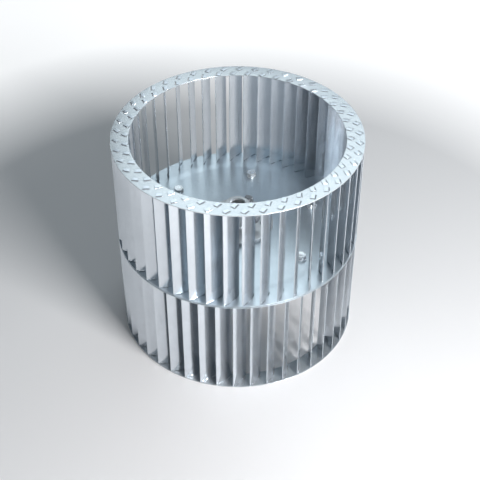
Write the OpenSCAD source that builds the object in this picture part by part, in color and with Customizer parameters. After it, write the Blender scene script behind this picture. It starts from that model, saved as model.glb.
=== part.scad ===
// Double-inlet blower wheel. Each half has curved sheet blades whose tabs pass through slots in an end
// ring and in a disc and are folded flat. The two discs are bolted back to back and riveted to one hub.
// Millimetres. The axis is +Z and the wheel stands on the folded tabs of its lower ring, at z = 0.

/* [Wheel] */
// Outer diameter of the end rings and the discs
wheel_d = 270; // [240:1:320]
// Width over the outer faces of the two end rings
wheel_w = 249; // [150:1:320]
// Blades in each half, in groups of three
blade_count = 45; // [36:3:48]

/* [End rings] */
// Radial width of an end ring
ring_w = 19.5; // [19:0.5:24]
// Sheet thickness of an end ring
ring_t = 1; // [0.8:0.1:1.6]

/* [Blades] */
// Sheet thickness of a blade
blade_t = 0.7; // [0.5:0.1:1]
// Radius that a blade is curved to
curve_r = 42; // [38:0.5:60]
// Angle between a blade and the wheel's radius at the blade's outer edge
lean_angle = 52; // [48:1:55]
// Distance from the rim to a blade's outer edge
outer_inset = 0.4; // [0.2:0.1:1]
// Distance from a ring's inner edge to a blade's inner edge
inner_inset = 0.8; // [0.4:0.1:1.5]

/* [Tabs] */
// Width of a tab along the blade
tab_w = 6.6; // [5:0.1:7]
// Length of the folded part, from the blade's hollow face
tab_l = 4.6; // [3:0.1:5.5]
// Inside radius of the fold
fold_r = 0.4; // [0.2:0.1:0.7]
// Distance along the blade from its outer edge to the middle of the outer tab
outer_tab_at = 6; // [5:0.1:6.8]
// Distance along the blade from its inner edge to the middle of the inner tab
inner_tab_at = 5.2; // [4.6:0.1:5.6]
// Room at each end of a tab in its slot
slot_end_gap = 0.3; // [0.2:0.1:0.5]
// Room at each face of a tab in its slot
slot_side_gap = 0.85; // [0.75:0.05:1]

/* [Discs] */
// Sheet thickness of a disc
disc_t = 0.8; // [0.6:0.1:1.2]
// Room between a folded tab and the other half's disc
tab_room = 0.4; // [0.3:0.1:0.8]
// Distance from the radius of the ring's inner edge in to the step in a disc
step_in = 4; // [3:0.5:5]
// Radial width of the step that parts the two rims
step_w = 3; // [2:0.5:4]

/* [Hub] */
// Diameter of the shaft bore
bore_d = 16; // [10:0.5:19]
// Chamfer at each mouth of the bore
bore_chamfer = 1.2; // [0.5:0.1:1.5]
// Diameter of the boss at its top
boss_top_d = 28; // [27:0.5:31]
// Diameter of the boss where it meets the flange
boss_base_d = 32; // [31:0.5:38]
// Height of the boss above the upper disc
boss_h = 29.5; // [27:0.5:36]
// Diameter of the flange
flange_d = 80; // [76:1:90]
// Thickness of the flange
flange_t = 5; // [3:0.5:6]
// Radius of the fillet between the boss and the flange
flange_fillet = 4; // [2:0.5:4]
// Chamfer on the flange's upper edge and on the ends of the hub
hub_chamfer = 0.8; // [0.4:0.1:1.2]
// Diameter of the spigot that passes through the discs
spigot_d = 34; // [30:1:38]
// Length of the spigot below the lower disc
spigot_l = 8; // [5:1:14]
// Room round the spigot in the discs
spigot_gap = 0.15; // [0.1:0.05:0.3]

/* [Set screws] */
// Thread diameter of a set screw
set_screw_d = 8; // [6:0.5:8]
// Length of the thread under the head
set_screw_l = 12; // [10:0.5:14]
// Distance across the flats of the square head
set_screw_head_w = 8; // [7:0.5:10]
// Height of the square head
set_screw_head_h = 6; // [4:0.5:8]
// Height of the set screws above the upper disc
set_screw_at = 18.5; // [16:0.5:20]
// Distance from the bore's wall back to a set screw's tip
set_screw_tip_gap = 1; // [0.5:0.1:2]
// Direction of the first set screw round the wheel
set_screw_angle = 328; // [0:1:359]
// Angle from the first set screw round to the second
set_screw_spread = 90; // [60:1:180]

/* [Disc bolts] */
// Bolts that hold the two discs together
bolt_count = 6; // [4:1:8]
// Distance from the step in a disc in to the circle of bolts
bolt_step_in = 18; // [8:0.5:30]
// Direction of the first bolt round the wheel
bolt_angle = 20; // [0:1:59]
// Thread diameter of a bolt
bolt_d = 6; // [5:0.5:6]
// Length of a bolt under its head
bolt_l = 14; // [13:1:20]
// Distance across the flats of a bolt's head and nut
hex_w = 10; // [9:0.5:11]
// Height of a bolt's head
bolt_head_h = 4; // [3:0.5:5]
// Height of a nut
nut_h = 5; // [4:0.5:6]
// Diameter of a washer
washer_d = 12; // [11:0.5:14]
// Thickness of a washer
washer_t = 1.6; // [1:0.1:2]
// Turn of each bolt from the one before
bolt_turn = 17; // [0:1:59]
// Room round a bolt in its holes
bolt_hole_gap = 0.3; // [0.2:0.1:0.5]
// Room round a screw in its thread
thread_gap = 0.1; // [0.05:0.05:0.2]

/* [Hub rivets] */
// Rivets that hold the hub to the discs
rivet_count = 6; // [4:1:8]
// Diameter of the circle of rivets
rivet_circle_d = 60; // [58:1:64]
// Direction of the first rivet round the wheel
rivet_angle = 50; // [0:1:59]
// Diameter of a rivet's shank
rivet_d = 5; // [4:0.5:6]
// Diameter of a rivet's heads
rivet_head_d = 9; // [8:0.5:10]
// Height of a rivet's heads
rivet_head_h = 2.6; // [2:0.1:3.5]
// Room round a rivet in its holes
rivet_hole_gap = 0.1; // [0.05:0.05:0.2]

/* [Hidden] */
blades_per_group = 3;
group_count = blade_count / blades_per_group;
$fn = 96;
// Overrun of a cutting tool past the face that it leaves
cut_run = 1;
// Depth that a tab's straight part reaches into its blade
tab_root = 2;

wheel_r = wheel_d / 2;
ring_inner_r = wheel_r - ring_w;
half_w = wheel_w / 2;
middle_z = blade_t + half_w;
pitch = 360 / blade_count;
// The folded tabs of the two halves lie side by side between the rims
rim_gap = blade_t + tab_room;
blade_foot = rim_gap / 2 + disc_t;
blade_l = half_w - ring_t - blade_foot;

// Plan of a blade: an arc from the outer edge, at angle 0 round the wheel, in to the inner edge
edge_outer_r = wheel_r - outer_inset;
edge_inner_r = ring_inner_r + inner_inset;
curve_x = edge_outer_r - curve_r * sin(lean_angle);
curve_y = -curve_r * cos(lean_angle);
curve_centre_r = norm([curve_x, curve_y]);
arc_start = 90 - lean_angle;
arc_end = atan2(curve_y, curve_x)
    + acos((edge_inner_r ^ 2 - curve_centre_r ^ 2 - curve_r ^ 2) / (2 * curve_centre_r * curve_r));
degrees_per_mm = 180 / (PI * curve_r);
tab_angles = [arc_start + outer_tab_at * degrees_per_mm, arc_end - inner_tab_at * degrees_per_mm];

// Radii and heights of the discs, the hub and their fasteners
step_outer_r = ring_inner_r - step_in;
step_inner_r = step_outer_r - step_w;
bolt_circle_r = step_inner_r - bolt_step_in;
spigot_hole_r = spigot_d / 2 + spigot_gap;
hub_top = disc_t + boss_h;
hub_bottom = -disc_t - spigot_l;
flange_top = disc_t + flange_t;
bore_r = bore_d / 2;
set_screw_z = disc_t + set_screw_at;
hex_corner_d = hex_w / cos(30);
// Share of a head's width that its chamfer leaves flat on top
head_flat = 0.94;

// Puts a half wheel on the middle plane, upwards or downwards
module half(side) {
    translate([0, 0, middle_z])
        if (side == "upper")
            children();
        else
            mirror([0, 0, 1])
                rotate(pitch / 2)
                    children();
}

// Repeats a child round the axis
module around(count, radius, start = 0) {
    for (i = [0:count - 1])
        rotate(start + i * 360 / count)
            translate([radius, 0, 0])
                children();
}

// Puts a child at a tab: X away from the blade's hollow face, Y along the blade
module at_tab(angle) {
    translate([curve_x, curve_y, 0])
        rotate(angle)
            translate([curve_r, 0, 0])
                children();
}

// Section of a tab that passes through a sheet of this thickness and folds flat on its far face
module tab_section(sheet_t) {
    inner_x = -blade_t / 2;
    translate([inner_x, -tab_root])
        square([blade_t, tab_root + sheet_t - fold_r]);
    intersection() {
        translate([inner_x - fold_r, sheet_t - fold_r])
            difference() {
                circle(fold_r + blade_t);
                circle(fold_r);
            }
        translate([inner_x - fold_r, sheet_t - fold_r])
            square(fold_r + blade_t);
    }
    translate([inner_x - tab_l, sheet_t])
        square([tab_l - fold_r, blade_t]);
}

module tab(sheet_t) {
    rotate([90, 0, 0])
        linear_extrude(tab_w, center = true)
            tab_section(sheet_t);
}

// One blade with its four folded tabs, from the disc's face up to the ring's face
module blade() {
    translate([curve_x, curve_y, blade_foot])
        rotate(arc_start)
            rotate_extrude(angle = arc_end - arc_start)
                translate([curve_r - blade_t / 2, 0])
                    square([blade_t, blade_l]);
    for (angle = tab_angles) {
        at_tab(angle)
            translate([0, 0, blade_foot + blade_l])
                tab(ring_t);
        at_tab(angle)
            translate([0, 0, blade_foot])
                mirror([0, 0, 1])
                    tab(disc_t);
    }
}

// The slots of every blade, cut through a sheet that starts at this height
module slots(bottom, thickness) {
    slot_w = blade_t + 2 * slot_side_gap;
    slot_l = tab_w + 2 * slot_end_gap;
    around(blade_count, 0)
        for (angle = tab_angles)
            at_tab(angle)
                translate([-slot_w / 2, -slot_l / 2, bottom - cut_run])
                    cube([slot_w, slot_l, thickness + 2 * cut_run]);
}

module end_ring() {
    color("lightsteelblue")
        difference() {
            translate([0, 0, half_w - ring_t])
                cylinder(h = ring_t, r = wheel_r);
            translate([0, 0, half_w - ring_t - cut_run])
                cylinder(h = ring_t + 2 * cut_run, r = ring_inner_r);
            slots(half_w - ring_t, ring_t);
        }
}

// A disc is flat where the two meet and steps away from the middle plane to its slotted rim
module disc() {
    lift = rim_gap / 2;
    color("slategray")
        difference() {
            rotate_extrude()
                polygon([
                    [spigot_hole_r, 0],
                    [step_inner_r, 0],
                    [step_outer_r, lift],
                    [wheel_r, lift],
                    [wheel_r, lift + disc_t],
                    [step_outer_r, lift + disc_t],
                    [step_inner_r, disc_t],
                    [spigot_hole_r, disc_t]
                ]);
            slots(lift, disc_t);
            // The holes keep their place when the lower disc is turned by half a pitch
            children();
        }
}

module fastener_holes() {
    around(bolt_count, bolt_circle_r, bolt_angle)
        translate([0, 0, -cut_run])
            cylinder(h = disc_t + 2 * cut_run, r = bolt_d / 2 + bolt_hole_gap);
    around(rivet_count, rivet_circle_d / 2, rivet_angle)
        translate([0, 0, -cut_run])
            cylinder(h = disc_t + 2 * cut_run, r = rivet_d / 2 + rivet_hole_gap);
}

module upper_disc() {
    half("upper")
        disc()
            fastener_holes();
}

module lower_disc() {
    half("lower")
        disc()
            rotate(-pitch / 2)
                fastener_holes();
}

module blade_group(index) {
    color("lightgray")
        for (i = [0:blades_per_group - 1])
            rotate(((index - 1) * blades_per_group + i) * pitch)
                blade();
}

// The turned outline of the hub: spigot, flange, fillet and tapered boss
module hub_outline() {
    spigot_r = spigot_d / 2;
    flange_r = flange_d / 2;
    boss_base_r = boss_base_d / 2;
    boss_top_r = boss_top_d / 2;
    polygon([
        [0, hub_bottom],
        [spigot_r - hub_chamfer, hub_bottom],
        [spigot_r, hub_bottom + hub_chamfer],
        [spigot_r, disc_t],
        [flange_r, disc_t],
        [flange_r, flange_top - hub_chamfer],
        [flange_r - hub_chamfer, flange_top],
        [boss_base_r, flange_top],
        [boss_top_r, hub_top - hub_chamfer],
        [boss_top_r - hub_chamfer, hub_top],
        [0, hub_top]
    ]);
    // The fillet runs into the flange and into the boss's leaning side
    side_lean = atan((boss_base_r - boss_top_r) / (hub_top - hub_chamfer - flange_top));
    reach = flange_fillet * tan((90 - side_lean) / 2);
    fillet_x = boss_base_r + reach;
    side_end = [boss_base_r - reach * sin(side_lean), flange_top + reach * cos(side_lean)];
    difference() {
        polygon([
            [boss_top_r, flange_top - hub_chamfer],
            [fillet_x, flange_top - hub_chamfer],
            [fillet_x, flange_top + flange_fillet],
            side_end,
            [boss_top_r, side_end.y]
        ]);
        translate([fillet_x, flange_top + flange_fillet])
            circle(flange_fillet);
    }
}

module hub() {
    color("darkgray")
        translate([0, 0, middle_z])
            difference() {
                rotate_extrude()
                    hub_outline();
                translate([0, 0, hub_bottom - cut_run])
                    cylinder(h = hub_top - hub_bottom + 2 * cut_run, r = bore_r);
                bore_mouth(hub_top);
                translate([0, 0, hub_bottom])
                    mirror([0, 0, 1])
                        bore_mouth(0);
                at_set_screws()
                    cylinder(h = boss_base_d, r = set_screw_d / 2 + thread_gap);
                around(rivet_count, rivet_circle_d / 2, rivet_angle)
                    translate([0, 0, disc_t - cut_run])
                        cylinder(h = flange_t + 2 * cut_run, r = rivet_d / 2 + rivet_hole_gap);
            }
}

// Chamfer of the bore at a mouth that opens upwards at this height
module bore_mouth(top) {
    translate([0, 0, top - bore_chamfer])
        cylinder(h = bore_chamfer + cut_run, r1 = bore_r, r2 = bore_r + bore_chamfer + cut_run);
}

// Lays a child's Z along each set screw, outwards from the wheel's axis
module at_set_screws() {
    for (angle = [set_screw_angle, set_screw_angle + set_screw_spread])
        rotate(angle)
            translate([0, 0, set_screw_z])
                rotate([0, 90, 0])
                    children();
}

// Cone that takes the corners off a head's outer end
module head_chamfer(width, height) {
    flat_d = width * head_flat;
    cylinder(h = height, d1 = flat_d + 2 * height / tan(30), d2 = flat_d);
}

module set_screw() {
    translate([0, 0, bore_r + set_screw_tip_gap])
        cylinder(h = set_screw_l, d = set_screw_d);
    translate([0, 0, bore_r + set_screw_tip_gap + set_screw_l])
        intersection() {
            translate([-set_screw_head_w / 2, -set_screw_head_w / 2, 0])
                cube([set_screw_head_w, set_screw_head_w, set_screw_head_h]);
            head_chamfer(set_screw_head_w, set_screw_head_h);
        }
}

module set_screws() {
    color("dimgray")
        translate([0, 0, middle_z])
            at_set_screws()
                set_screw();
}

// Puts a child on each bolt's axis, turned as that bolt is, at this height from the middle plane
module at_bolts(height) {
    translate([0, 0, middle_z])
        for (i = [0:bolt_count - 1])
            rotate(bolt_angle + i * 360 / bolt_count)
                translate([bolt_circle_r, 0, height])
                    rotate(i * bolt_turn)
                        children();
}

module hex_head(height) {
    intersection() {
        cylinder(h = height, d = hex_corner_d, $fn = 6);
        head_chamfer(hex_w, height);
    }
}

module disc_bolts() {
    color("gainsboro")
        at_bolts(disc_t + washer_t) {
            hex_head(bolt_head_h);
            translate([0, 0, -bolt_l])
                cylinder(h = bolt_l, d = bolt_d);
        }
}

module washer() {
    difference() {
        cylinder(h = washer_t, d = washer_d);
        translate([0, 0, -cut_run])
            cylinder(h = washer_t + 2 * cut_run, r = bolt_d / 2 + bolt_hole_gap);
    }
}

module bolt_washers() {
    color("silver")
        at_bolts(disc_t)
            washer();
}

module nut_washers() {
    color("silver")
        at_bolts(-disc_t - washer_t)
            washer();
}

module disc_nuts() {
    color("gainsboro")
        at_bolts(-disc_t - washer_t)
            mirror([0, 0, 1])
                difference() {
                    hex_head(nut_h);
                    translate([0, 0, -cut_run])
                        cylinder(h = nut_h + 2 * cut_run, r = bolt_d / 2 + thread_gap);
                }
}

// Domed head that stands on the plane z = 0
module rivet_head() {
    head_r = rivet_head_d / 2;
    sphere_r = (head_r ^ 2 + rivet_head_h ^ 2) / (2 * rivet_head_h);
    intersection() {
        translate([0, 0, rivet_head_h - sphere_r])
            sphere(sphere_r);
        cylinder(h = rivet_head_h + cut_run, r = head_r + cut_run);
    }
}

module hub_rivets() {
    color("gray")
        translate([0, 0, middle_z])
            around(rivet_count, rivet_circle_d / 2, rivet_angle) {
                translate([0, 0, -disc_t])
                    cylinder(h = flange_top + disc_t, d = rivet_d);
                translate([0, 0, flange_top])
                    rivet_head();
                translate([0, 0, -disc_t])
                    mirror([0, 0, 1])
                        rivet_head();
            }
}

half("upper") end_ring();  // upper_end_ring
half("lower") end_ring();  // lower_end_ring
upper_disc();
lower_disc();
hub();
set_screws();
disc_bolts();
bolt_washers();
nut_washers();
disc_nuts();
hub_rivets();
for (i = [1:group_count])
    half("upper") blade_group(i);
for (i = [1:group_count])
    half("lower") blade_group(i);
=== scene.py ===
import math
import random

import bpy
from mathutils import Matrix, Vector, geometry


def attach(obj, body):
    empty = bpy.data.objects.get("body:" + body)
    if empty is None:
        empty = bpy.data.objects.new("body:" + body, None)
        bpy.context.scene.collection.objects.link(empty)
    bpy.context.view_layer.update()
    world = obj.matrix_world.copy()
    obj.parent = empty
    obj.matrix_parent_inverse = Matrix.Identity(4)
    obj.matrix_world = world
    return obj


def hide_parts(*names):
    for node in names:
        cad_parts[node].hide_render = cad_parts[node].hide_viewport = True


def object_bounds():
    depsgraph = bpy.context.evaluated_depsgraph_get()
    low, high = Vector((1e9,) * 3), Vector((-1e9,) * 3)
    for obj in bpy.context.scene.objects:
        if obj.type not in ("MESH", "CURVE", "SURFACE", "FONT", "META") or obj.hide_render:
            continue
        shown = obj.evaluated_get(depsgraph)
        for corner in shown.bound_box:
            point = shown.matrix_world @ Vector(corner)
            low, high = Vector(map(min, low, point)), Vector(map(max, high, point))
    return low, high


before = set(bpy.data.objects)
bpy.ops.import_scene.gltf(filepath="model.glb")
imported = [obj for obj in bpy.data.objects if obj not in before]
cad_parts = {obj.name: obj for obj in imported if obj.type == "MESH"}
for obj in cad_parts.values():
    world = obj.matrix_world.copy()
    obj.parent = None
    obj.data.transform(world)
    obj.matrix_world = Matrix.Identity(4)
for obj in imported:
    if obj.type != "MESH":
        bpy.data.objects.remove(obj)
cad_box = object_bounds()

MM = 0.001

# Where the photograph was taken from: straight at the wheel's front, from above
CAMERA_DISTANCE = 1.2129
CAMERA_ELEVATION = math.radians(41.09)
CAMERA_ROLL = math.radians(0.10)
# The camera's own place beside and below the line through the wheel's middle
CAMERA_RIGHT = 0.0027
CAMERA_UP = -0.0181
LENS = 80.14
SENSOR = 36.0

# The floor fades to a white background between these distances from the wheel's axis, in metres
BACKDROP_FROM = 0.42
BACKDROP_TO = 0.64
BACKDROP_GLOW = 0.7
# The glow near the wheel, and the paper itself
FLOOR_GLOW = 0.03
FLOOR_COLOUR = (0.72, 0.72, 0.72, 1)
FLOOR_ROUGHNESS = 0.9
# The floor's flat part and the radius of its upturned edge, in metres
FLOOR_FLAT_R = 7.0
FLOOR_SWEEP_R = 3.0
FLOOR_SEGMENTS = 64
# The height that every lamp is aimed at, in metres
LAMP_AIM_Z = 0.12

# The zinc's pattern: spangle cells in a metre, and the sizes of its marks in metres
SPANGLE_CELLS = 130.0
CLOUD_SIZE = 0.03
GRAIN_SIZE = 0.0016
HANDLING_SIZE = 0.007
HANDLING_STRENGTH = 0.35
DUSTY = 0.72
# The hub's turning marks in a metre, and their depth in metres
TURNING_MARKS = 2200.0
TURNING_DEPTH = 0.0002
TURNED_CLOUD_SIZE = 0.008
# The places of a colour Mix node's sockets, whose names repeat
MIX_SHARE, MIX_FIRST, MIX_SECOND = 0, 6, 7
MIX_RESULT = 2

# The wheel's sizes in millimetres, as in the CAD
WHEEL_R = 135.0
HALF_W = 124.5
BLADE_COUNT = 45
GROUP = 3
PITCH = math.tau / BLADE_COUNT
RING_INNER_R = 115.5
RING_T = 1.0
BLADE_T = 0.7
CURVE_R = 42.0
LEAN = math.radians(52)
EDGE_OUTER_R = WHEEL_R - 0.4
EDGE_INNER_R = RING_INNER_R + 0.8
TAB_W = 6.6
TAB_L = 4.6
TAB_ROOT = 2.0
FOLD_R = 0.4
OUTER_TAB_AT = 6.0
INNER_TAB_AT = 5.2
# The CAD leaves 0.85 mm at each face of a tab; 0.5 mm looks closed, as in the photograph
SLOT_W = BLADE_T + 2 * 0.5
SLOT_L = TAB_W + 2 * 0.3
SLOT_CORNER = 0.4
DISC_T = 0.8
RIM_GAP = BLADE_T + 0.4
BLADE_FOOT = RIM_GAP / 2 + DISC_T
BLADE_L = HALF_W - RING_T - BLADE_FOOT
MIDDLE_Z = BLADE_T + HALF_W
SPIGOT_HOLE_R = 17.15
STEP_INNER_R = 108.5
STEP_OUTER_R = 111.5
# How far the sheet bends on each side of the step, which is sharp in the CAD
STEP_BLEND = 4.0
BOLT_R = 90.5
BOLT_COUNT = 6
BOLT_ANGLE = math.radians(20)
BOLT_TURN = math.radians(17)
BOLT_D = 6.0
BOLT_L = 14.0
BOLT_PITCH = 1.0
BOLT_THREAD_L = 5.5
BOLT_HOLE_R = 3.3
HEX_W = 10.0
BOLT_HEAD_H = 4.0
NUT_H = 5.0
WASHER_R = 6.0
WASHER_T = 1.6
RIVET_R = 30.0
RIVET_COUNT = 6
RIVET_ANGLE = math.radians(50)
RIVET_HOLE_R = 2.6
RIVET_SHANK_R = 2.5
RIVET_HEAD_R = 4.5
RIVET_HEAD_H = 2.6
BORE_R = 8.0
BORE_CHAMFER = 1.2
BOSS_TOP_R = 14.0
BOSS_BASE_R = 16.0
HUB_TOP = DISC_T + 29.5
HUB_BOTTOM = -DISC_T - 8.0
FLANGE_R = 40.0
FLANGE_TOP = DISC_T + 5.0
FLANGE_FILLET = 4.0
HUB_CHAMFER = 0.8
SPIGOT_R = 17.0
THREAD_GAP = 0.1
SCREW_D = 8.0
SCREW_PITCH = 1.25
SCREW_Z = DISC_T + 18.5
SCREW_TIP_R = 9.0
SCREW_THREAD_L = 12.0
SCREW_HEAD_W = 8.0
SCREW_HEAD_H = 6.0
SCREW_ANGLES = (math.radians(328), math.radians(58))

# Softened edges, in millimetres
BLADE_EDGE = 0.22
TAB_EDGE = 0.2
RING_EDGE = 0.2
DISC_EDGE = 0.16
WASHER_EDGE = 0.18
HEAD_EDGE = 0.12
HUB_EDGE = 0.25

# How far a blade or a tab strays from its true shape, in millimetres; a tab sinks one way only
BLADE_BOW = 0.1
BLADE_WAVE = 0.05
BLADE_TWIST = 0.16
BLADE_SLANT = 0.12
TAB_SINK = 0.13
TAB_SKEW = 0.1

# Points round a rim, and round a fastener
RIM_POINTS = 192
SEGMENTS = 48

# The arc that a blade follows in plan, from its outer edge in to its inner edge
CURVE_X = EDGE_OUTER_R - CURVE_R * math.sin(LEAN)
CURVE_Y = -CURVE_R * math.cos(LEAN)
CURVE_CENTRE_R = math.hypot(CURVE_X, CURVE_Y)
ARC_START = math.pi / 2 - LEAN
ARC_END = math.atan2(CURVE_Y, CURVE_X) + math.acos(
    (EDGE_INNER_R ** 2 - CURVE_CENTRE_R ** 2 - CURVE_R ** 2) / (2 * CURVE_CENTRE_R * CURVE_R))
BLADE_W = (ARC_END - ARC_START) * CURVE_R
TAB_ANGLES = (ARC_START + OUTER_TAB_AT / CURVE_R, ARC_END - INNER_TAB_AT / CURVE_R)


def make_camera():
    """The camera looks along a fixed direction from a point fitted to the photograph."""
    middle = (cad_box[0][2] + cad_box[1][2]) / 2
    back = Vector((0, -math.cos(CAMERA_ELEVATION), math.sin(CAMERA_ELEVATION)))
    right = Vector((1, 0, 0))
    up = back.cross(right)
    turn = Matrix.Rotation(CAMERA_ROLL, 3, back)
    right, up = turn @ right, turn @ up
    place = Vector((0, 0, middle)) + back * CAMERA_DISTANCE + right * CAMERA_RIGHT + up * CAMERA_UP
    data = bpy.data.cameras.new("camera")
    data.lens = LENS
    data.sensor_width = SENSOR
    camera = bpy.data.objects.new("camera", data)
    facing = Matrix((right, up, back)).transposed().to_4x4()
    camera.matrix_world = Matrix.Translation(place) @ facing
    bpy.context.scene.collection.objects.link(camera)
    bpy.context.scene.camera = camera


def node_tree(material):
    """Turns on a material's nodes and gives its tree and its shader."""
    material.use_nodes = True
    return material.node_tree, material.node_tree.nodes["Principled BSDF"]


def add(tree, kind, inputs=None, **settings):
    """A new node with its settings and its inputs, each a value or another node's output."""
    node = tree.nodes.new(kind)
    for name, value in settings.items():
        setattr(node, name, value)
    for name, value in (inputs or {}).items():
        socket = node.inputs[name]
        if isinstance(value, bpy.types.NodeSocket):
            tree.links.new(value, socket)
        else:
            socket.default_value = value
    return node


def stretched(tree, scale):
    """Object coordinates in metres, scaled along each axis."""
    place = add(tree, "ShaderNodeTexCoord").outputs["Object"]
    return add(tree, "ShaderNodeMapping", {"Vector": place, "Scale": scale}).outputs["Vector"]


def noise(tree, scale, size, detail=3.0, roughness=0.5):
    """Noise whose features are about size across, stretched by scale."""
    vector = stretched(tree, scale)
    values = {"Vector": vector, "Scale": 1.0 / size, "Detail": detail, "Roughness": roughness}
    return add(tree, "ShaderNodeTexNoise", values).outputs["Fac"]


def mapped(tree, value, low, high, to_low, to_high):
    """A value carried from one range to another, and held at its ends."""
    values = {"Value": value, "From Min": low, "From Max": high, "To Min": to_low, "To Max": to_high}
    return add(tree, "ShaderNodeMapRange", values).outputs["Result"]


def mixed(tree, share, first, second):
    """A colour that goes from the first to the second as share goes from 0 to 1."""
    node = add(tree, "ShaderNodeMix", data_type="RGBA")
    for index, value in ((MIX_SHARE, share), (MIX_FIRST, first), (MIX_SECOND, second)):
        if isinstance(value, bpy.types.NodeSocket):
            tree.links.new(value, node.inputs[index])
        else:
            node.inputs[index].default_value = value
    return node.outputs[MIX_RESULT]


def galvanised(name, light, dark, smooth, rough, grain=(1, 1, 0.04), metallic=0.8):
    """Zinc-coated sheet: faint spangle, rolling grain, cloudy tone and small marks."""
    material = bpy.data.materials.new(name)
    tree, shader = node_tree(material)
    cells = add(tree, "ShaderNodeTexVoronoi", {"Vector": stretched(tree, (1, 1, 1)), "Scale": SPANGLE_CELLS})
    spangle = add(tree, "ShaderNodeSeparateColor", {"Color": cells.outputs["Color"]}).outputs["Red"]
    cloud = noise(tree, (1, 1, 1), CLOUD_SIZE)
    streak = noise(tree, grain, GRAIN_SIZE, 4.0)
    tone = add(tree, "ShaderNodeMath", {0: mapped(tree, cloud, 0.3, 0.7, 0.0, 0.7),
                                        1: mapped(tree, spangle, 0.0, 1.0, 0.0, 0.3)}, operation="ADD")
    zinc = mixed(tree, tone.outputs[0], dark, light)
    handling = noise(tree, (1, 1, 0.25), HANDLING_SIZE, 6.0, 0.7)
    marks = mapped(tree, handling, 0.58, 0.72, 0.0, HANDLING_STRENGTH)
    dusty = tuple(DUSTY * channel for channel in dark[:3]) + (1,)
    tree.links.new(mixed(tree, marks, zinc, dusty), shader.inputs["Base Color"])
    tree.links.new(mapped(tree, streak, 0.3, 0.7, smooth, rough), shader.inputs["Roughness"])
    shader.inputs["Metallic"].default_value = metallic
    return material


def turned(name, light, dark, smooth, rough):
    """Machined steel: fine rings round the wheel's axis, and a cloudy tone."""
    material = bpy.data.materials.new(name)
    tree, shader = node_tree(material)
    place = add(tree, "ShaderNodeSeparateXYZ", {"Vector": stretched(tree, (1, 1, 1))})
    flat = add(tree, "ShaderNodeCombineXYZ", {"X": place.outputs["X"], "Y": place.outputs["Y"]})
    radius = add(tree, "ShaderNodeVectorMath", {0: flat.outputs["Vector"]}, operation="LENGTH")
    section = add(tree, "ShaderNodeCombineXYZ", {"X": radius.outputs["Value"], "Y": place.outputs["Z"]})
    values = {"Vector": section.outputs["Vector"], "Scale": TURNING_MARKS, "Detail": 2.0}
    rings = add(tree, "ShaderNodeTexNoise", values).outputs["Fac"]
    cloud = noise(tree, (1, 1, 1), TURNED_CLOUD_SIZE, 4.0)
    tree.links.new(mixed(tree, mapped(tree, cloud, 0.3, 0.7, 0, 1), dark, light), shader.inputs["Base Color"])
    tree.links.new(mapped(tree, rings, 0.3, 0.7, smooth, rough), shader.inputs["Roughness"])
    values = {"Height": rings, "Strength": 0.25, "Distance": TURNING_DEPTH}
    tree.links.new(add(tree, "ShaderNodeBump", values).outputs["Normal"], shader.inputs["Normal"])
    shader.inputs["Metallic"].default_value = 0.85
    return material


def make_materials():
    """Each metal by its light and dark tones and its roughness."""
    blade = galvanised("blade_zinc", (0.666, 0.712, 0.757, 1), (0.597, 0.64, 0.685, 1),
                       0.18, 0.22, metallic=0.86)
    ring = galvanised("ring_zinc", (0.66, 0.7, 0.72, 1), (0.6, 0.64, 0.67, 1),
                      0.21, 0.25, grain=(0.3, 1, 1))
    disc = galvanised("disc_zinc", (0.625, 0.7, 0.752, 1), (0.566, 0.64, 0.692, 1),
                      0.29, 0.34, grain=(0.1, 1, 1), metallic=0.85)
    hub = turned("hub_metal", (0.67, 0.69, 0.7, 1), (0.57, 0.585, 0.595, 1), 0.29, 0.4)
    bright = galvanised("bright_zinc", (0.82, 0.85, 0.87, 1), (0.74, 0.78, 0.81, 1), 0.17, 0.25)
    black = galvanised("black_screw", (0.4, 0.41, 0.43, 1), (0.26, 0.27, 0.28, 1), 0.29, 0.36)
    return {"blade": blade, "ring": ring, "disc": disc, "hub": hub, "bright": bright, "black": black}


def make_piece(name, points, faces, material, node):
    """A smooth mesh from points in millimetres, standing for a CAD node."""
    mesh = bpy.data.meshes.new(name)
    mesh.from_pydata([(x * MM, y * MM, z * MM) for x, y, z in points], [], faces)
    mesh.validate()
    mesh.materials.append(material)
    mesh.shade_smooth()
    piece = bpy.data.objects.new(name, mesh)
    bpy.context.scene.collection.objects.link(piece)
    weighted = piece.modifiers.new("normals", "WEIGHTED_NORMAL")
    weighted.weight = 100
    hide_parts(node)
    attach(piece, "root")
    return piece


def merged(parts):
    """Several (points, faces) as one."""
    points, faces = [], []
    for more_points, more_faces in parts:
        start = len(points)
        points += more_points
        faces += [tuple(start + i for i in face) for face in more_faces]
    return points, faces


def turned_about_axis(points, angle):
    """Points turned about the wheel's axis."""
    cos, sin = math.cos(angle), math.sin(angle)
    return [(x * cos - y * sin, x * sin + y * cos, z) for x, y, z in points]


def level(part, side):
    """Sets a part of a half wheel at its height; the lower half is mirrored."""
    points, faces = part
    if side == "upper":
        return [(x, y, z + MIDDLE_Z) for x, y, z in points], faces
    return [(x, y, MIDDLE_Z - z) for x, y, z in points], [face[::-1] for face in faces]


def first_angle(side):
    """The lower blades stand half a pitch round from the upper ones."""
    return 0 if side == "upper" else PITCH / 2


def tube(rows):
    """Closed rings of points joined one to the next, with the two ends left open."""
    count = len(rows[0])
    points = [point for row in rows for point in row]
    faces = []
    for r in range(len(rows) - 1):
        for i in range(count):
            j = (i + 1) % count
            faces.append((r * count + i, r * count + j, (r + 1) * count + j, (r + 1) * count + i))
    return points, faces


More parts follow.
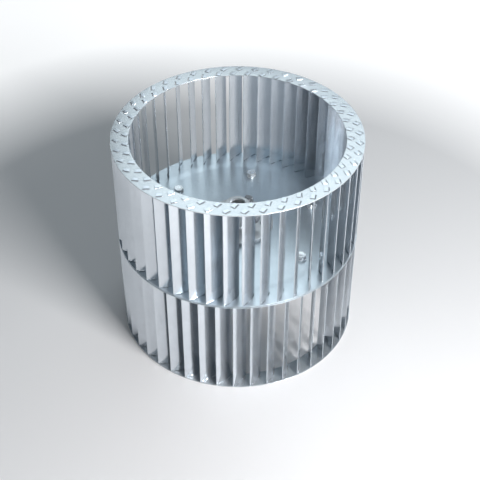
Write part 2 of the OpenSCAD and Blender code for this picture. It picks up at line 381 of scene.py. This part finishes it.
def lathe(profile, segments):
    """Turns a closed profile of (radius, height) about Z."""
    rows = []
    for k in range(segments):
        angle = k * math.tau / segments
        rows.append([(r * math.cos(angle), r * math.sin(angle), z) for r, z in profile])
    points, faces = tube(rows + [rows[0]])
    count = len(profile)
    total = segments * count
    faces = [tuple(i % total for i in face) for face in faces]
    return points[:total], faces


def sheet_outline(length, thickness, corner, steps):
    """Section of a sheet with rounded edges, as a function that gives it shrunk by an inset."""
    def at(inset):
        half = thickness / 2 - inset
        radius = max(corner - inset, 0.01)
        first, last = inset + radius, length - inset - radius
        across = half - radius

        def turn(x, y, degrees):
            angles = [math.radians(a) for a in degrees]
            return [(x + radius * math.cos(a), y + radius * math.sin(a)) for a in angles]
        points = [(first + (last - first) * i / steps, half) for i in range(steps + 1)]
        points += turn(last, across, (60, 30, 0))
        points += turn(last, -across, (0, -30, -60))
        points += [(last - (last - first) * i / steps, -half) for i in range(steps + 1)]
        points += turn(first, -across, (240, 210, 180))
        points += turn(first, across, (180, 150, 120))
        return points
    return at


def cap(count, steps, offset, flip):
    """Faces that close a sheet section: strips between its two long sides, and its two rounded ends."""
    top = list(range(steps + 1))
    end = list(range(steps + 1, steps + 7))
    under = list(range(steps + 7, 2 * steps + 8))
    start = list(range(2 * steps + 8, count))
    faces = [(top[i], under[steps - i], under[steps - i - 1], top[i + 1]) for i in range(steps)]
    faces.append(tuple([top[-1]] + [under[0]] + end[::-1]))
    faces.append(tuple([under[-1]] + [top[0]] + start[::-1]))
    faces = [tuple(offset + i for i in face) for face in faces]
    return [face[::-1] for face in faces] if flip else faces


def blade_body(rng):
    """The curved strip of a blade: sheared edges, and a slight bow and twist of its own."""
    steps = 16
    corner = BLADE_EDGE
    at = sheet_outline(BLADE_W, BLADE_T, corner, steps)
    bow = rng.uniform(-BLADE_BOW, BLADE_BOW)
    wave = rng.uniform(-BLADE_WAVE, BLADE_WAVE)
    twist = rng.uniform(-BLADE_TWIST, BLADE_TWIST)
    slant = rng.uniform(-BLADE_SLANT, BLADE_SLANT)
    levels = [(0, corner), (corner * 0.3, corner * 0.3), (corner, 0)]
    rows_between = 14
    levels += [(corner + (BLADE_L - 2 * corner) * i / rows_between, 0) for i in range(1, rows_between)]
    levels += [(BLADE_L - corner, 0), (BLADE_L - corner * 0.3, corner * 0.3), (BLADE_L, corner)]
    rows = []
    for height, inset in levels:
        u = height / BLADE_L
        row = []
        for along, across in at(inset):
            side = along / BLADE_W - 0.5
            shift = bow * math.sin(math.pi * u) + wave * math.sin(math.tau * u)
            shift += side * (twist * math.cos(math.pi * u) + slant)
            angle = ARC_START + along / CURVE_R
            radius = CURVE_R + across + shift
            row.append((CURVE_X + radius * math.cos(angle), CURVE_Y + radius * math.sin(angle),
                        BLADE_FOOT + height))
        rows.append(row)
    points, faces = tube(rows)
    count = len(rows[0])
    return points, faces + cap(count, steps, 0, False) + cap(count, steps, (len(rows) - 1) * count, True)


def tab(angle, sheet_t, up, rng):
    """A tab that rises through the sheet and folds over towards the blade's hollow side."""
    sink = rng.uniform(0.0, TAB_SINK)
    skew = rng.uniform(-TAB_SKEW, TAB_SKEW)
    steps = 2
    corner = TAB_EDGE
    at = sheet_outline(TAB_W, BLADE_T, corner, steps)
    inner_x = -BLADE_T / 2
    bend_x, bend_z = inner_x - FOLD_R, sheet_t - FOLD_R - sink
    bend = FOLD_R + BLADE_T / 2
    tilt = math.atan2(sink, TAB_L - FOLD_R)
    path = [(0, -TAB_ROOT, 0), (0, bend_z, 0)]
    turns = 6
    for i in range(1, turns + 1):
        a = (math.pi / 2 - tilt) * i / turns
        path.append((bend_x + bend * math.cos(a), bend_z + bend * math.sin(a), a))
    last_x, last_z, last_a = path[-1]
    reach = TAB_L - FOLD_R
    for share in (0.5, 1 - corner / reach, 1 - 0.3 * corner / reach, 1):
        run = reach * share
        path.append((last_x - run * math.sin(last_a), last_z + run * math.cos(last_a), last_a))
    insets = [0] * (len(path) - 2) + [corner * 0.3, corner]
    base = BLADE_FOOT + BLADE_L if up else BLADE_FOOT
    sign = 1 if up else -1
    cos, sin = math.cos(angle), math.sin(angle)
    rows = []
    for (x, z, a), inset in zip(path, insets):
        row = []
        for along, across in at(inset):
            out = CURVE_R + x + across * math.cos(a)
            side = along - TAB_W / 2 + skew * max(0, -x) / TAB_L
            row.append((CURVE_X + out * cos - side * sin, CURVE_Y + out * sin + side * cos,
                        base + sign * (z + across * math.sin(a))))
        rows.append(row)
    points, faces = tube(rows)
    count = len(rows[0])
    faces += cap(count, steps, 0, False) + cap(count, steps, (len(rows) - 1) * count, True)
    return points, faces if up else [face[::-1] for face in faces]


def blade(index, side):
    """One blade with its four tabs, in its place; its number and its half seed its small bends."""
    rng = random.Random(100 * index + (7 if side == "upper" else 31))
    parts = [blade_body(rng)]
    for angle in TAB_ANGLES:
        parts.append(tab(angle, RING_T, True, rng))
        parts.append(tab(angle, DISC_T, False, rng))
    points, faces = merged(parts)
    return level((turned_about_axis(points, index * PITCH + first_angle(side)), faces), side)


def make_blades(material):
    """One piece for each CAD node of three blades."""
    for side in ("upper", "lower"):
        for group in range(BLADE_COUNT // GROUP):
            node = f"{side}_blades_{group + 1}"
            parts = [blade(group * GROUP + i, side) for i in range(GROUP)]
            points, faces = merged(parts)
            make_piece(f"{node}_sheet", points, faces, material, node)


def circle(radius, count, centre=(0, 0)):
    """A loop that grows by d when the solid inside it does."""
    def at(d):
        return [(centre[0] + (radius + d) * math.cos(math.tau * i / count),
                 centre[1] + (radius + d) * math.sin(math.tau * i / count)) for i in range(count)]
    return at


def hole(radius, count, centre=(0, 0)):
    """A loop round a hole, which shrinks by d as the solid round it grows."""
    grown = circle(radius, count, centre)
    return lambda d: grown(-d)[::-1]


def slot_loop(angle, turn):
    """One tab's slot, as a loop that shrinks by d as the sheet round it grows."""
    centre_x = CURVE_X + CURVE_R * math.cos(angle)
    centre_y = CURVE_Y + CURVE_R * math.sin(angle)

    def at(d):
        half_x, half_y = SLOT_W / 2 - d, SLOT_L / 2 - d
        radius = SLOT_CORNER - d
        points = []
        for sx, sy, first in ((1, 1, 0), (-1, 1, 90), (-1, -1, 180), (1, -1, 270)):
            for step in (0, 45, 90):
                a = math.radians(first + step)
                points.append((sx * (half_x - radius) + radius * math.cos(a),
                               sy * (half_y - radius) + radius * math.sin(a)))
        placed = []
        for x, y in points[::-1]:
            px = centre_x + x * math.cos(angle) - y * math.sin(angle)
            py = centre_y + x * math.sin(angle) + y * math.cos(angle)
            placed.append((px * math.cos(turn) - py * math.sin(turn),
                           px * math.sin(turn) + py * math.cos(turn)))
        return placed
    return at


def slot_loops(side):
    """Every slot in an end ring or a disc of this half."""
    start = first_angle(side)
    return [slot_loop(angle, start + i * PITCH) for i in range(BLADE_COUNT) for angle in TAB_ANGLES]


def inside(point, loop):
    """Whether a point lies inside a closed loop of points."""
    x, y = point
    found = False
    for (x1, y1), (x2, y2) in zip(loop, loop[1:] + loop[:1]):
        if (y1 > y) != (y2 > y) and x < (x2 - x1) * (y - y1) / (y2 - y1) + x1:
            found = not found
    return found


def in_a_hole(point, windows):
    """Whether a point lies in one of several holes, each with its box to rule it out quickly."""
    for left, right, low, high, outline in windows:
        if left < point.x < right and low < point.y < high and inside(point, outline):
            return True
    return False


def flat_faces(flat, edges, rim, windows):
    """Triangles over the flat points, inside the rim and outside every hole, all turned one way."""
    result = geometry.delaunay_2d_cdt(flat, edges, [], 0, 1e-6)
    triangles, origins = result[2], result[3]
    faces = []
    for triangle in triangles:
        corners = [origins[i][0] for i in triangle]
        middle = sum((flat[i] for i in corners), Vector((0, 0))) / 3
        if not inside(middle, rim) or in_a_hole(middle, windows):
            continue
        a, b, c = (flat[i] for i in corners)
        if (b - a).cross(c - a) < 0:
            corners = corners[::-1]
        faces.append(corners)
    return faces


def pressed_sheet(outer, holes, bottom, top, edge, lift, extra=()):
    """A sheet with holes and rounded edges, its height raised by lift(radius).

    extra holds (radius, count) of circles of points between the edges, where the sheet bends.
    """
    steps = [(-edge, 0), (-edge * 0.3, edge * 0.3), (0, edge)]
    profile = [(d, top - drop) for d, drop in steps] + [(d, bottom + drop) for d, drop in steps[::-1]]
    points, faces, flat, edges = [], [], [], []
    above, below = {}, {}

    def add_loop(loop):
        first, count = len(flat), len(loop)
        flat.extend(Vector(p[:2]) for p in loop)
        edges.extend((first + i, first + (i + 1) % count) for i in range(count))
        return first, count
    for loop in [outer] + list(holes):
        rows = [[(x, y, z) for x, y in loop(d)] for d, z in profile]
        start = len(points)
        wall_points, wall_faces = tube(rows)
        points += wall_points
        faces += [tuple(start + i for i in face[::-1]) for face in wall_faces]
        first, count = add_loop(rows[0])
        for i in range(count):
            above[first + i] = start + i
            below[first + i] = start + (len(profile) - 1) * count + i
    extra_first = len(flat)
    for radius, count in extra:
        add_loop(circle(radius, count)(0))
    for i in range(extra_first, len(flat)):
        above[i] = len(points)
        points.append((flat[i].x, flat[i].y, top))
        below[i] = len(points)
        points.append((flat[i].x, flat[i].y, bottom))
    windows = []
    for loop in holes:
        outline = loop(-edge)
        xs, ys = [x for x, _ in outline], [y for _, y in outline]
        windows.append((min(xs), max(xs), min(ys), max(ys), outline))
    for corners in flat_faces(flat, edges, outer(-edge), windows):
        faces.append(tuple(above[i] for i in corners))
        faces.append(tuple(below[i] for i in corners[::-1]))
    return [(x, y, z + lift(math.hypot(x, y))) for x, y, z in points], faces


def make_rings(material):
    """The two end rings, slotted for their own half's tabs."""
    for side in ("upper", "lower"):
        holes = [hole(RING_INNER_R, RIM_POINTS)] + slot_loops(side)
        part = pressed_sheet(circle(WHEEL_R, RIM_POINTS), holes, HALF_W - RING_T, HALF_W, RING_EDGE,
                             lambda radius: 0)
        points, faces = level(part, side)
        make_piece(f"{side}_ring_sheet", points, faces, material, f"{side}_end_ring")


def disc_lift(radius):
    """The disc rises smoothly from the joint between the two discs to its slotted rim."""
    share = (radius - STEP_INNER_R + STEP_BLEND) / (STEP_OUTER_R - STEP_INNER_R + 2 * STEP_BLEND)
    share = min(1, max(0, share))
    return RIM_GAP / 2 * share * share * (3 - 2 * share)


def around(count, radius, start):
    """Places evenly spaced on a circle."""
    return [(radius * math.cos(start + i * math.tau / count), radius * math.sin(start + i * math.tau / count))
            for i in range(count)]


def make_discs(material):
    """The two discs, slotted, with holes for the spigot, the bolts and the rivets."""
    for side in ("upper", "lower"):
        holes = [hole(SPIGOT_HOLE_R, 64)] + slot_loops(side)
        holes += [hole(BOLT_HOLE_R, 24, centre) for centre in around(BOLT_COUNT, BOLT_R, BOLT_ANGLE)]
        holes += [hole(RIVET_HOLE_R, 20, centre) for centre in around(RIVET_COUNT, RIVET_R, RIVET_ANGLE)]
        # Circles of points 1 mm apart, from inside the step to outside it
        bends = [(STEP_INNER_R - 5 + i, 180) for i in range(12)]
        part = pressed_sheet(circle(WHEEL_R, RIM_POINTS), holes, 0, DISC_T, DISC_EDGE, disc_lift, bends)
        points, faces = level(part, side)
        make_piece(f"{side}_disc_sheet", points, faces, material, f"{side}_disc")


def polygon_radius(width, sides, first_corner, angle):
    """Distance from the middle of a regular outline to its edge, for its width across the flats."""
    part = math.tau / sides
    return width / 2 / math.cos((angle - first_corner) % part - part / 2)


def revolved(rows, count=SEGMENTS):
    """A closed body from rows of (radius, height): numbers, or functions of the angle round Z.

    A height's function takes the radius too.
    """
    angles = [k * math.tau / count for k in range(count)]
    rings = []
    for radius, height in rows:
        ring = []
        for a in angles:
            r = radius(a) if callable(radius) else radius
            z = height(a, r) if callable(height) else height
            ring.append((r * math.cos(a), r * math.sin(a), z))
        rings.append(ring)
    points, faces = tube(rings)
    for ring, first, flip in ((rings[0], 0, True), (rings[-1], (len(rings) - 1) * count, False)):
        middle = len(points)
        points.append((0, 0, sum(z for _, _, z in ring) / count))
        for k in range(count):
            face = (first + k, first + (k + 1) % count, middle)
            faces.append(face[::-1] if flip else face)
    return points, faces


def thread_rows(major, pitch, bottom, top):
    """Rows of a right-hand thread that rises out of a chamfered tip; its depth follows its pitch."""
    depth = 0.58 * pitch
    per_turn = 8
    rows = [(major - depth - 0.3, bottom)]
    for k in range(int((top - bottom) / pitch * per_turn) + 1):
        height = bottom + k * pitch / per_turn
        tip = max(0.0, 1 - (height - bottom) / (0.9 * pitch))

        def radius(angle, height=height, tip=tip):
            share = (height / pitch - angle / math.tau) % 1.0
            cut = min(1.0, max(0.0, abs(share - 0.5) * 2.6 - 0.15))
            return major - max(depth * cut, depth * tip)
        rows.append((radius, height))
    return rows


def head_rows(width, sides, first_corner, height, neck):
    """Rows of a head with a chamfered top, from the shank's neck out and up."""
    flat = 0.94 * width / 2
    lean = math.tan(math.radians(30))
    soft = HEAD_EDGE

    def edge(shrink):
        return lambda a: polygon_radius(width, sides, first_corner, a) - shrink

    def chamfer(a, r):
        return height - (r - flat) * lean
    rows = [(neck, 0.0), (edge(0.3), 0.0), (edge(soft * 0.3), soft * 0.3), (edge(0.0), soft * 1.5)]
    rows += [(edge(0.0), lambda a, r: chamfer(a, r) - soft), (edge(soft * 0.7), chamfer)]
    rows += [(flat + 0.1, height - 0.1 * lean), (flat - 0.1, height)]
    rows += [(flat * 0.72, height), (flat * 0.64, height - 0.12)]
    return rows


def bolt():
    """A hexagon bolt with its head on z = 0 and its threaded shank below."""
    shank = thread_rows(BOLT_D / 2, BOLT_PITCH, -BOLT_L, -BOLT_L + BOLT_THREAD_L)
    shank += [(BOLT_D / 2, -BOLT_L + BOLT_THREAD_L + 0.5), (BOLT_D / 2, -0.01)]
    return revolved(shank + head_rows(HEX_W, 6, 0, BOLT_HEAD_H, BOLT_D / 2))


def set_screw():
    """A square-head set screw, threaded up to a short neck under its head."""
    shank = thread_rows(SCREW_D / 2, SCREW_PITCH, -SCREW_THREAD_L, -1.3)
    shank += [(SCREW_D / 2 - 0.7, -1.0), (SCREW_D / 2 - 0.7, -0.4)]
    return revolved(shank + head_rows(SCREW_HEAD_W, 4, math.pi / 4, SCREW_HEAD_H, SCREW_D / 2 - 0.5))


def nut():
    """A hexagon nut chamfered at its outer end, round a plain bore chamfered at both."""
    bore = BOLT_D / 2 + THREAD_GAP
    outer = head_rows(HEX_W, 6, 0, NUT_H, bore)[1:8]
    rows = [(bore, 0.4), (bore + 0.35, 0.0)] + outer + [(bore + 0.35, NUT_H), (bore, NUT_H - 0.4)]
    points, faces = revolved(rows)
    # The two end caps go, and the last ring joins the first through the bore
    points, faces = points[:-2], faces[:-2 * SEGMENTS]
    last = (len(rows) - 1) * SEGMENTS
    faces += [(last + k, last + (k + 1) % SEGMENTS, (k + 1) % SEGMENTS, k) for k in range(SEGMENTS)]
    return points, faces


def washer(hole_r):
    """A flat ring whose four edges are rounded."""
    soft = WASHER_EDGE
    profile = []
    for x, first in ((WASHER_R - soft, 0), (hole_r + soft, 90)):
        for degrees in (first, first + 30, first + 60, first + 90):
            a = math.radians(degrees)
            profile.append((x + soft * math.cos(a), WASHER_T - soft + soft * math.sin(a)))
    profile += [(r, WASHER_T - z) for r, z in profile[::-1]]
    return lathe(profile[::-1], 40)


def rivet():
    """A rivet with a set head at each end."""
    ball = (RIVET_HEAD_R ** 2 + RIVET_HEAD_H ** 2) / (2 * RIVET_HEAD_H)
    spread = math.asin(RIVET_HEAD_R / ball)
    dome = []
    for k in range(1, 9):
        a = spread * k / 9
        dome.append((ball * math.sin(a), RIVET_HEAD_H - ball + ball * math.cos(a)))
    dome.append((RIVET_HEAD_R, 0.15))
    under = RIVET_HEAD_R - 0.1
    rows = [(r, -DISC_T - z) for r, z in dome] + [(under, -DISC_T), (RIVET_SHANK_R, -DISC_T)]
    rows += [(RIVET_SHANK_R, FLANGE_TOP), (under, FLANGE_TOP)]
    rows += [(r, FLANGE_TOP + z) for r, z in dome[::-1]]
    return revolved(rows, 32)


def placed(part, angle, radius, height, turn=0.0, flip=False):
    """Turns a part about its own axis and sets it on a circle round the wheel's axis."""
    points, faces = part
    points = turned_about_axis(points, turn)
    if flip:
        points = [(x, y, -z) for x, y, z in points]
        faces = [face[::-1] for face in faces]
    points = [(x + radius, y, z + height) for x, y, z in points]
    return turned_about_axis(points, angle), faces


def at_bolts(part, height, flip=False):
    """One copy of a part at each bolt, each turned a little further, as hand-tightened heads are."""
    parts = []
    for i in range(BOLT_COUNT):
        angle = BOLT_ANGLE + i * math.tau / BOLT_COUNT
        parts.append(placed(part, angle, BOLT_R, MIDDLE_Z + height, i * BOLT_TURN, flip))
    return merged(parts)


def laid_out(part, angle):
    """Lays a part's Z outwards from the wheel's axis, at a set screw's height."""
    points, faces = part
    points = [(z + SCREW_TIP_R + SCREW_THREAD_L, y, MIDDLE_Z + SCREW_Z - x) for x, y, z in points]
    return turned_about_axis(points, angle), faces


def rounded(profile, soft):
    """Rounds each corner of a closed (radius, height) profile by a small radius."""
    points = []
    count = len(profile)
    for i, corner in enumerate(profile):
        here = Vector(corner)
        before, after = Vector(profile[i - 1]) - here, Vector(profile[(i + 1) % count]) - here
        reach = min(soft, before.length / 3, after.length / 3)
        first, last = here + before.normalized() * reach, here + after.normalized() * reach
        for t in (0, 0.33, 0.67, 1):
            curve = first * (1 - t) ** 2 + here * 2 * t * (1 - t) + last * t * t
            points.append((curve.x, curve.y))
    return points


def hub_profile():
    """Outline of the hub, anticlockwise from the foot of its bore; its fillet meets flange and boss."""
    lean = math.atan((BOSS_BASE_R - BOSS_TOP_R) / (HUB_TOP - HUB_CHAMFER - FLANGE_TOP))
    reach = FLANGE_FILLET * math.tan((math.pi / 2 - lean) / 2)
    centre_x, centre_y = BOSS_BASE_R + reach, FLANGE_TOP + FLANGE_FILLET
    sharp = [(BORE_R, HUB_BOTTOM + BORE_CHAMFER), (BORE_R + BORE_CHAMFER, HUB_BOTTOM)]
    sharp += [(SPIGOT_R - HUB_CHAMFER, HUB_BOTTOM), (SPIGOT_R, HUB_BOTTOM + HUB_CHAMFER)]
    sharp += [(SPIGOT_R, DISC_T), (FLANGE_R, DISC_T), (FLANGE_R, FLANGE_TOP - HUB_CHAMFER)]
    sharp += [(FLANGE_R - HUB_CHAMFER, FLANGE_TOP)]
    for k in range(9):
        a = -math.pi / 2 - (math.pi / 2 - lean) * k / 8
        sharp.append((centre_x + FLANGE_FILLET * math.cos(a), centre_y + FLANGE_FILLET * math.sin(a)))
    sharp += [(BOSS_TOP_R, HUB_TOP - HUB_CHAMFER), (BOSS_TOP_R - HUB_CHAMFER, HUB_TOP)]
    sharp += [(BORE_R + BORE_CHAMFER, HUB_TOP), (BORE_R, HUB_TOP - BORE_CHAMFER)]
    return rounded(sharp, HUB_EDGE)


def cut_away(piece, points, faces):
    """Cuts a closed body, in millimetres, out of a piece for good; its normals are weighted after."""
    mesh = bpy.data.meshes.new("cutter")
    mesh.from_pydata([(x * MM, y * MM, z * MM) for x, y, z in points], [], faces)
    cutter = bpy.data.objects.new("cutter", mesh)
    bpy.context.scene.collection.objects.link(cutter)
    cut = piece.modifiers.new("cut", "BOOLEAN")
    cut.operation = "DIFFERENCE"
    cut.solver = "EXACT"
    cut.object = cutter
    weighted = piece.modifiers["normals"]
    weighted.show_viewport = False
    graph = bpy.context.evaluated_depsgraph_get()
    piece.data = bpy.data.meshes.new_from_object(piece.evaluated_get(graph), depsgraph=graph)
    weighted.show_viewport = True
    piece.modifiers.remove(cut)
    bpy.data.objects.remove(cutter)


def make_hub(material):
    """The turned hub, with its two set-screw holes drilled."""
    points, faces = lathe(hub_profile(), 96)
    points = [(x, y, z + MIDDLE_Z) for x, y, z in points]
    hub = make_piece("hub_turned", points, faces, material, "hub")
    hole_r = SCREW_D / 2 + THREAD_GAP
    # The drill runs from inside the bore to outside the boss, and widens only beyond it
    drill = revolved([(hole_r, -SCREW_THREAD_L - 4), (hole_r, -2.6), (hole_r + 3, 0.4)], 32)
    cut_away(hub, *merged([laid_out(drill, a) for a in SCREW_ANGLES]))


def make_fasteners(bright, black):
    """The bolts, washers, nuts, rivets and set screws."""
    under_head = DISC_T + WASHER_T
    ring = washer(BOLT_HOLE_R)
    rivets = [placed(rivet(), RIVET_ANGLE + i * math.tau / RIVET_COUNT, RIVET_R, MIDDLE_Z)
              for i in range(RIVET_COUNT)]
    pieces = (
        ("disc_bolts_threaded", at_bolts(bolt(), under_head), bright, "disc_bolts", "fasteners"),
        ("bolt_washers_rounded", at_bolts(ring, DISC_T), bright, "bolt_washers", "fasteners"),
        ("nut_washers_rounded", at_bolts(ring, -under_head), bright, "nut_washers", "fasteners"),
        ("disc_nuts_chamfered", at_bolts(nut(), -under_head, True), bright, "disc_nuts", "fasteners"),
        ("hub_rivets_set", merged(rivets), bright, "hub_rivets", "rivets"),
        ("set_screws_threaded", merged([laid_out(set_screw(), a) for a in SCREW_ANGLES]), black,
         "set_screws", "set_screws"),
    )
    for name, (points, faces), material, node, slot in pieces:
        make_piece(name, points, faces, material, node)


def floor_paper():
    """Pale paper that glows white far from the wheel, for what sees it directly or mirrored."""
    material = bpy.data.materials.new("floor_paper")
    tree, shader = node_tree(material)
    shader.inputs["Base Color"].default_value = FLOOR_COLOUR
    shader.inputs["Roughness"].default_value = FLOOR_ROUGHNESS
    seen = add(tree, "ShaderNodeLightPath")
    direct = add(tree, "ShaderNodeMath", {0: seen.outputs["Is Camera Ray"], 1: seen.outputs["Is Glossy Ray"]},
                 operation="MAXIMUM")
    shown = add(tree, "ShaderNodeMath", {0: direct.outputs[0], 1: seen.outputs["Is Transmission Ray"]},
                operation="MAXIMUM")
    place = add(tree, "ShaderNodeTexCoord").outputs["Object"]
    away = add(tree, "ShaderNodeVectorMath", {0: place}, operation="LENGTH").outputs["Value"]
    far = mapped(tree, away, BACKDROP_FROM, BACKDROP_TO, FLOOR_GLOW, BACKDROP_GLOW)
    glow = add(tree, "ShaderNodeMath", {0: shown.outputs[0], 1: far}, operation="MULTIPLY")
    tree.links.new(glow.outputs[0], shader.inputs["Emission Strength"])
    shader.inputs["Emission Color"].default_value = (1, 1, 1, 1)
    return material


def make_floor():
    """A paper sweep: flat round the wheel and curved up all round, far away."""
    profile = [(0.01, 0.0), (3.0, 0.0), (FLOOR_FLAT_R, 0.0)]
    for k in range(1, 7):
        a = math.radians(15 * k)
        profile.append((FLOOR_FLAT_R + FLOOR_SWEEP_R * math.sin(a),
                        FLOOR_SWEEP_R - FLOOR_SWEEP_R * math.cos(a)))
    turns = [math.tau * k / FLOOR_SEGMENTS for k in range(FLOOR_SEGMENTS)]
    points, faces = tube([[(radius * math.cos(a), radius * math.sin(a), height) for a in turns]
                          for radius, height in profile])
    faces.append(tuple(range(FLOOR_SEGMENTS)))
    mesh = bpy.data.meshes.new("floor")
    mesh.from_pydata(points, [], faces)
    mesh.shade_smooth()
    mesh.materials.append(floor_paper())
    floor = bpy.data.objects.new("floor", mesh)
    bpy.context.scene.collection.objects.link(floor)


def area_light(name, place, size, power, colour):
    """A rectangular lamp aimed at the wheel's middle."""
    data = bpy.data.lights.new(name, "AREA")
    data.shape = "RECTANGLE"
    data.size, data.size_y = size
    data.energy = power
    data.color = colour
    lamp = bpy.data.objects.new(name, data)
    lamp.location = place
    aim = Vector((0, 0, LAMP_AIM_Z)) - Vector(place)
    lamp.rotation_euler = aim.to_track_quat("-Z", "Y").to_euler()
    bpy.context.scene.collection.objects.link(lamp)


def from_wheel(azimuth, elevation, distance):
    """A place seen from the wheel's middle at these angles, in degrees."""
    azimuth, elevation = math.radians(azimuth), math.radians(elevation)
    flat = distance * math.cos(elevation)
    return (flat * math.cos(azimuth), flat * math.sin(azimuth), LAMP_AIM_Z + distance * math.sin(elevation))


def make_light():
    """A low key lamp at the front right, a weak fill in front, and panels behind and overhead."""
    world = bpy.data.worlds.new("studio")
    bpy.context.scene.world = world
    world.use_nodes = True
    background = world.node_tree.nodes["Background"]
    background.inputs["Color"].default_value = (0.57, 0.69, 0.81, 1)
    background.inputs["Strength"].default_value = 0.13
    area_light("key", from_wheel(308, 20, 1.4), (0.6, 0.6), 37, (1, 0.985, 0.99))
    area_light("front_fill", from_wheel(272, 44, 2.4), (2.2, 1.3), 3, (0.95, 0.98, 1))
    area_light("sky_panel", from_wheel(75.5, 47.5, 2.4), (1.8, 1.25), 11.3, (0.85, 0.95, 1))
    area_light("top_panel", (0, 0, 2.7), (1.3, 1.3), 2.5, (0.9, 0.97, 1))


make_camera()
materials = make_materials()
make_blades(materials["blade"])
make_rings(materials["ring"])
make_discs(materials["disc"])
make_hub(materials["hub"])
make_fasteners(materials["bright"], materials["black"])
make_floor()
make_light()
bpy.context.scene.view_settings.view_transform = "Standard"
